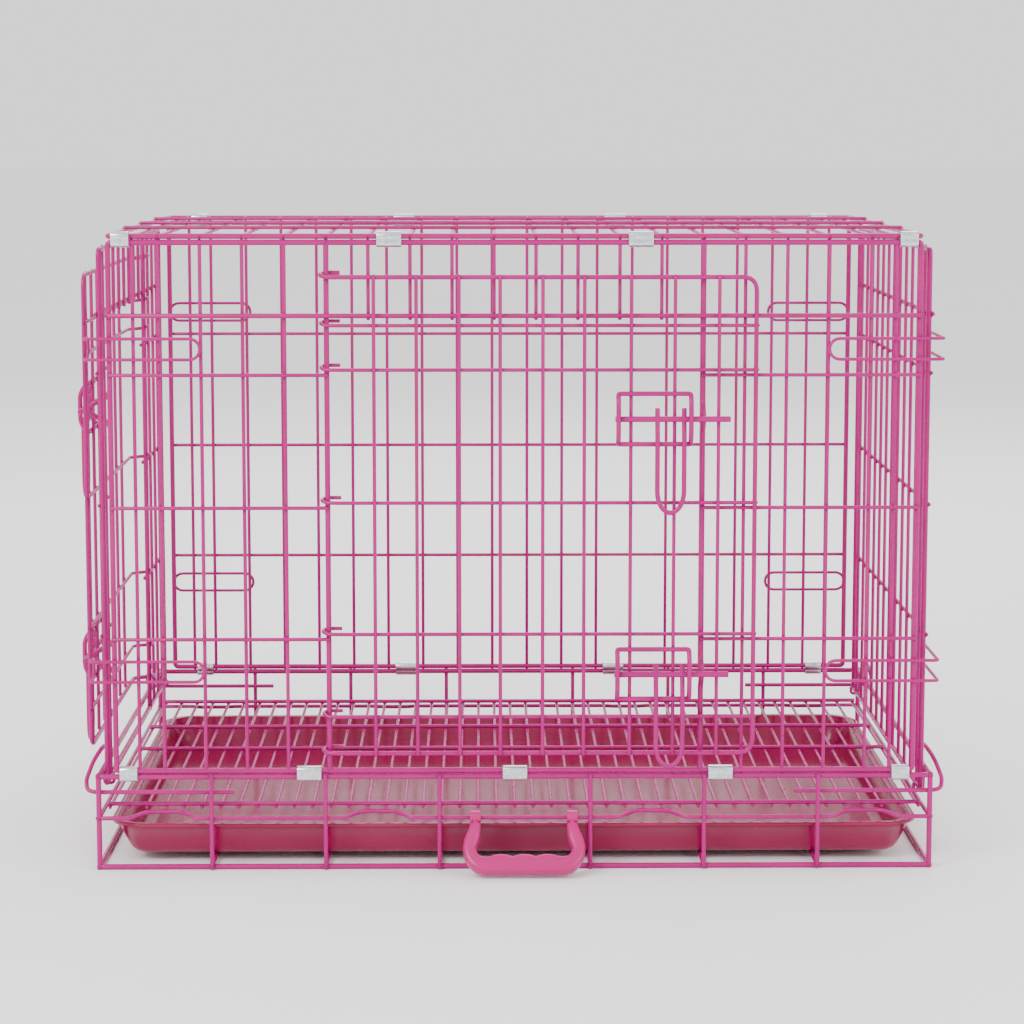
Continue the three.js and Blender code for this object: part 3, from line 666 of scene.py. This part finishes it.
def bolt(name, width, stand_off, z, local):
    """A round bolt, and the long pull loop that hangs from it."""
    w = Wires()
    y = -stand_off - LAYER - 4.8
    hang = y - 3.3
    right = width - LATCH_TO_KEEPER
    leg_a, leg_b = right - 29.8, right - 6
    middle = (leg_a + leg_b) / 2
    w.wire([(right - 67.4, y, z), (right + 35.5, y, z)], BOLT)
    loop = [(leg_a, y, z + 10), (leg_a, y, z - 5), (leg_a, hang, z - 15), (leg_a, hang, z - 70),
            (leg_a + 4, hang, z - 80), (middle, hang, z - 85), (leg_b - 4, hang, z - 80),
            (leg_b, hang, z - 70), (leg_b, hang, z - 15), (leg_b, y, z - 5), (leg_b, y, z + 10)]
    w.wire(loop, STOUT, bend=6)
    return w.finish(f"{name}_wires", name, [name], local)


# ---- hinge clips ----
def hinge_clip(node, body):
    """A strip of sheet bent round two rails, drawn in between them, with its ends lapped."""
    low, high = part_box(node)
    middle = TO_FRAME.inverted() @ ((low + high) / 2)
    length = (high.x - low.x) / MM
    radius, sheet, waist = RAIL + 1.3, 0.5, 0.45
    inward = 1 if middle.y < DEPTH / 2 else -1
    across, up = Vector((0, -inward, 0)), Vector((0, 0, 1))
    rise = up * RAIL_GAP / 2
    lap = [middle - across * (radius - 0.9) + up * 2.4, middle - across * (radius - 0.1) + up * 0.6]
    path = lap + arc(middle - rise, -across, -up, radius, 0, 180, 12)
    path.append(middle + across * (radius - waist))
    path += arc(middle + rise, across, up, radius, 0, 180, 12)
    path.append(middle - across * (radius + 0.35) - up * 1.6)
    line = rounded_line(path, 1.5, steps=3)
    edge = [Vector(p) for p in ((-length / 2, sheet, 0), (length / 2, sheet, 0),
                                (length / 2, -sheet, 0), (-length / 2, -sheet, 0))]
    section = rounded_line(edge, 0.35, closed=True, steps=2)
    rings = []
    for i, point in enumerate(line):
        along = (line[min(i + 1, len(line) - 1)] - line[max(i - 1, 0)]).normalized()
        out = Vector((1, 0, 0)).cross(along)
        rings.append([point + Vector((p.x, 0, 0)) + out * p.y for p in section])
    solid = Solid()
    solid.rings(rings)
    return solid.piece(f"{node}_strip", body, [node], "clip_zinc", ZINC)


# ---- the crate ----
base_frame()
floor_grid()
tray()
carry_handle()
front_panel()
back_panel()
top_panel()
end_panel("left_end_panel", -1, LEFT_PIVOT_Z, True)
end_panel("right_end_panel", 1, RIGHT_PIVOT_Z, False)
for hand, side, end_reach in (("left", -1, 20), ("right", 1, 90)):
    for height, z in HOOK_LEVELS.items():
        corner_hook(f"front_{hand}_{height}_hook", side, z, end_reach)
        back_hook(f"back_{hand}_{height}_hook", side, z)

front_door_width = 2 * KEEPER_X
front_place = Matrix.Translation((-KEEPER_X, 0, 0))
door("front_door", front_door_width, DOOR_LEVELS, DOOR_STAND_OFF,
     [front_door_width - d for d in (-13.5, 25.8, 64.8, 106.3, 143.3, 181.3, 217.8, 255.8, 293.6)],
     front_place)
side_door_width = SIDE_HINGE_Y - SIDE_KEEPER_Y
side_place = Matrix.Translation((-HALF_END, SIDE_HINGE_Y, 0)) @ Matrix.Rotation(-math.pi / 2, 4, "Z")
door("side_door", side_door_width, SIDE_DOOR_LEVELS, SIDE_STAND_OFF,
     [side_door_width - d for d in (-13.5, 25.8, 64.8, 102.8, 140.8, 178.8, 219.4)], side_place)
for height, z in LATCH_LEVELS.items():
    bolt(f"front_{height}_bolt", front_door_width, DOOR_STAND_OFF, z, front_place)
    bolt(f"side_{height}_bolt", side_door_width, SIDE_STAND_OFF, z, side_place)
for body, nodes in frame["record"]["behaviour"]["bodies"].items():
    for node in nodes:
        if "_clip_" in node:
            hinge_clip(node, body)


# ---- studio ----
def studio():
    floor = bpy.data.meshes.new("studio_floor")
    half = 40
    floor.from_pydata([(-half, -half, 0), (half, -half, 0), (half, half, 0), (-half, half, 0)], [],
                      [(0, 1, 2, 3)])
    ground = bpy.data.objects.new("studio_floor", floor)
    bpy.context.scene.collection.objects.link(ground)
    m = Nodes("studio_paper", Roughness=0.9, Specular_IOR_Level=0.1)
    m.set(Base_Color=m.mix(m.noise(3), (0.93, 0.93, 0.93, 1), (0.97, 0.97, 0.97, 1)))
    floor.materials.append(m.material)

    world = bpy.data.worlds.new("studio_sky")
    world.use_nodes = True
    world.node_tree.nodes["Background"].inputs["Color"].default_value = (1, 1, 1, 1)
    world.node_tree.nodes["Background"].inputs["Strength"].default_value = 1.4
    bpy.context.scene.world = world

    centre = TO_FRAME @ Vector((0, DEPTH / 2, 290))
    for name, place, size, power in (
        ("key", (-1.9, -2.2, 2.4), 1.4, 84),
        ("fill", (2.4, -1.8, 1.5), 2.0, 38),
        ("back", (0.4, 2.4, 2.6), 2.2, 58),
    ):
        light = bpy.data.lights.new(name, "AREA")
        light.size, light.energy = size, power
        lamp = bpy.data.objects.new(name, light)
        lamp.location = place
        lamp.rotation_euler = (centre - Vector(place)).to_track_quat("-Z", "Y").to_euler()
        bpy.context.scene.collection.objects.link(lamp)

    camera = bpy.data.cameras.new("camera")
    camera.lens, camera.sensor_width, camera.shift_y = 97, 36, -0.05
    eye = bpy.data.objects.new("camera", camera)
    eye.location = TO_FRAME @ Vector((-30, -2454, 674.5))
    target = TO_FRAME @ Vector((0, DEPTH / 2, 345))
    eye.rotation_euler = (target - eye.location).to_track_quat("-Z", "Y").to_euler()
    bpy.context.scene.collection.objects.link(eye)
    bpy.context.scene.camera = eye


studio()
bpy.context.view_layer.update()
